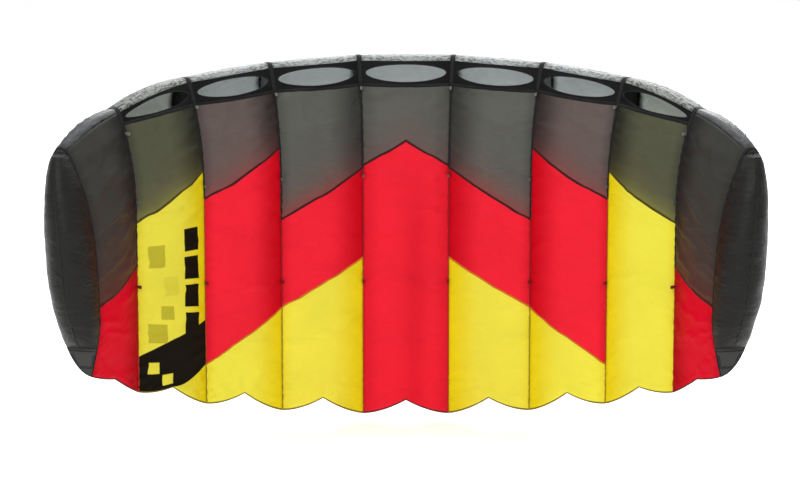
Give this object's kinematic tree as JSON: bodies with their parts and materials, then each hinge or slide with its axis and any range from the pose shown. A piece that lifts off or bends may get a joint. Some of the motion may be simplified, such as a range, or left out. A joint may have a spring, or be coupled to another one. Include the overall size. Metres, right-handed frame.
{
  "type": "kitesurf foil kite",
  "caption": "Ram-air foil kite: inflated fabric cells on ribs, open nose inlets, scalloped trailing edge, rounded closed tips and webbing loops for a bridle.",
  "frame": {"origin": "midway across the span, level with the lowest point of the trailing edge, in the middle of the depth", "axes": "+Z along the chord towards the nose (leading edge up), X across the span, -Y towards the flyer, so the underside faces -Y"},
  "size_m": [2.4174, 0.9652, 1.27],
  "materials": {
    "cloth_pale": "ripstop polyester cloth, satin, light grey",
    "cloth_grey": "translucent dark grey ripstop cloth",
    "cloth_black": "black ripstop cloth",
    "cloth_red": "red ripstop cloth",
    "cloth_yellow": "yellow ripstop cloth",
    "rib_cloth": "dark rib cloth",
    "webbing": "woven polyester webbing"
  },
  "bodies": {
    "canopy_centre": {"top_skin_centre": "cloth_pale", "nose_band_centre": "cloth_black", "bottom_grey_centre": "cloth_grey", "bottom_red_centre": "cloth_red", "rib_left_1": "rib_cloth", "rib_right_1": "rib_cloth", "bridle_loops_left_1": "webbing", "bridle_loops_right_1": "webbing"},
    "canopy_left_1": {"top_skin_left_1": "cloth_pale", "nose_band_left_1": "cloth_black", "bottom_grey_left_1": "cloth_grey", "bottom_red_left_1": "cloth_red", "bottom_yellow_left_1": "cloth_yellow", "rib_left_2": "rib_cloth", "bridle_loops_left_2": "webbing"},
    "canopy_left_2": {"top_skin_left_2": "cloth_pale", "nose_band_left_2": "cloth_black", "bottom_grey_left_2": "cloth_grey", "bottom_red_left_2": "cloth_red", "bottom_yellow_left_2": "cloth_yellow", "rib_left_3": "rib_cloth", "bridle_loops_left_3": "webbing"},
    "canopy_left_3": {"top_skin_left_3": "cloth_pale", "nose_band_left_3": "cloth_black", "bottom_grey_left_3": "cloth_grey", "bottom_yellow_left_3": "cloth_yellow", "rib_left_4": "rib_cloth", "bridle_loops_left_4": "webbing"},
    "canopy_left_4": {"top_skin_left_4": "cloth_pale", "bottom_grey_left_4": "cloth_grey", "bottom_red_left_4": "cloth_red", "rib_left_5": "rib_cloth", "tip_pod_left": "cloth_black"},
    "flap_left": {"drain_flap_left": "cloth_grey"},
    "canopy_right_1": {"top_skin_right_1": "cloth_pale", "nose_band_right_1": "cloth_black", "bottom_grey_right_1": "cloth_grey", "bottom_red_right_1": "cloth_red", "bottom_yellow_right_1": "cloth_yellow", "rib_right_2": "rib_cloth", "bridle_loops_right_2": "webbing"},
    "canopy_right_2": {"top_skin_right_2": "cloth_pale", "nose_band_right_2": "cloth_black", "bottom_grey_right_2": "cloth_grey", "bottom_red_right_2": "cloth_red", "bottom_yellow_right_2": "cloth_yellow", "rib_right_3": "rib_cloth", "bridle_loops_right_3": "webbing"},
    "canopy_right_3": {"top_skin_right_3": "cloth_pale", "nose_band_right_3": "cloth_black", "bottom_grey_right_3": "cloth_grey", "bottom_yellow_right_3": "cloth_yellow", "rib_right_4": "rib_cloth", "bridle_loops_right_4": "webbing"},
    "canopy_right_4": {"top_skin_right_4": "cloth_pale", "bottom_grey_right_4": "cloth_grey", "bottom_red_right_4": "cloth_red", "rib_right_5": "rib_cloth", "tip_pod_right": "cloth_black"},
    "flap_right": {"drain_flap_right": "cloth_grey"}
  },
  "joints": [
    {"name": "arc_flex_left_1", "type": "hinge", "parent": "canopy_centre", "child": "canopy_left_1", "pos_m": [-0.151, 0.2325, 0.635], "axis": [0, 0, 1], "range_deg": [-2.2, 4], "stiffness_Nm_per_rad": 3},
    {"name": "arc_flex_left_2", "type": "hinge", "parent": "canopy_left_1", "child": "canopy_left_2", "pos_m": [-0.43643, 0.15602, 0.644], "axis": [0, 0, 1], "range_deg": [-2.2, 4], "stiffness_Nm_per_rad": 3},
    {"name": "arc_flex_left_3", "type": "hinge", "parent": "canopy_left_2", "child": "canopy_left_3", "pos_m": [-0.69734, 0.01729, 0.6605], "axis": [0, 0, 1], "range_deg": [-2.2, 4], "stiffness_Nm_per_rad": 3},
    {"name": "arc_flex_left_4", "type": "hinge", "parent": "canopy_left_3", "child": "canopy_left_4", "pos_m": [-0.91885, -0.17526, 0.671], "axis": [0, 0, 1], "range_deg": [-2.2, 4], "stiffness_Nm_per_rad": 3},
    {"name": "drain_flap_hinge_left", "type": "hinge", "parent": "canopy_left_4", "child": "flap_left", "pos_m": [-1.09127, -0.3895, 0.37947], "axis": [-0.9613, 0.2756, 0], "range_deg": [0, 75]},
    {"name": "arc_flex_right_1", "type": "hinge", "parent": "canopy_centre", "child": "canopy_right_1", "pos_m": [0.151, 0.2325, 0.635], "axis": [0, 0, -1], "range_deg": [-2.2, 4], "stiffness_Nm_per_rad": 3},
    {"name": "arc_flex_right_2", "type": "hinge", "parent": "canopy_right_1", "child": "canopy_right_2", "pos_m": [0.43643, 0.15602, 0.644], "axis": [0, 0, -1], "range_deg": [-2.2, 4], "stiffness_Nm_per_rad": 3},
    {"name": "arc_flex_right_3", "type": "hinge", "parent": "canopy_right_2", "child": "canopy_right_3", "pos_m": [0.69734, 0.01729, 0.6605], "axis": [0, 0, -1], "range_deg": [-2.2, 4], "stiffness_Nm_per_rad": 3},
    {"name": "arc_flex_right_4", "type": "hinge", "parent": "canopy_right_3", "child": "canopy_right_4", "pos_m": [0.91885, -0.17526, 0.671], "axis": [0, 0, -1], "range_deg": [-2.2, 4], "stiffness_Nm_per_rad": 3},
    {"name": "drain_flap_hinge_right", "type": "hinge", "parent": "canopy_right_4", "child": "flap_right", "pos_m": [1.09127, -0.3895, 0.37947], "axis": [-0.9613, -0.2756, 0], "range_deg": [0, 75]}
  ],
  "couplings": [
    {"joint": "arc_flex_left_2", "follows": "arc_flex_left_1", "ratio": 1},
    {"joint": "arc_flex_left_3", "follows": "arc_flex_left_1", "ratio": 1},
    {"joint": "arc_flex_left_4", "follows": "arc_flex_left_1", "ratio": 1},
    {"joint": "arc_flex_right_2", "follows": "arc_flex_right_1", "ratio": 1},
    {"joint": "arc_flex_right_3", "follows": "arc_flex_right_1", "ratio": 1},
    {"joint": "arc_flex_right_4", "follows": "arc_flex_right_1", "ratio": 1}
  ]
}
